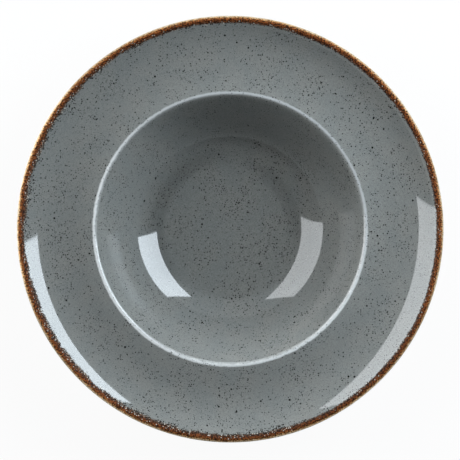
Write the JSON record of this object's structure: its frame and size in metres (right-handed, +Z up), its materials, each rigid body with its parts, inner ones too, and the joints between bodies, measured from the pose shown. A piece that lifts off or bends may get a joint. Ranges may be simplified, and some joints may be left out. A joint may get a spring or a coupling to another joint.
{
  "type": "pasta plate",
  "caption": "Round rimmed pasta plate: deep bowl-shaped well, raised lip, wide dished flange with a brown edge band, speckled slate glaze, plain foot ring.",
  "frame": {"origin": "centre of the foot ring's resting face, on the plate's axis", "axes": "+Z up along the plate's axis, out of the well; +Y towards the top of the picture; +X to its right"},
  "size_m": [0.26, 0.26, 0.0524],
  "materials": {
    "porcelain": "fired porcelain, bare and satin on the foot ring, with a thin clear skin on the lip's crest",
    "slate_glaze": "glossy slate-grey reactive glaze with fine dark specks",
    "brown_glaze": "glossy iron-brown band, black at its ragged inner border and tan where it thins over the edge"
  },
  "bodies": {
    "root": {"porcelain_body": "porcelain", "base_glaze": "slate_glaze", "back_glaze": "slate_glaze", "rim_band": "brown_glaze", "flange_glaze": "slate_glaze", "well_glaze": "slate_glaze"}
  },
  "joints": []
}
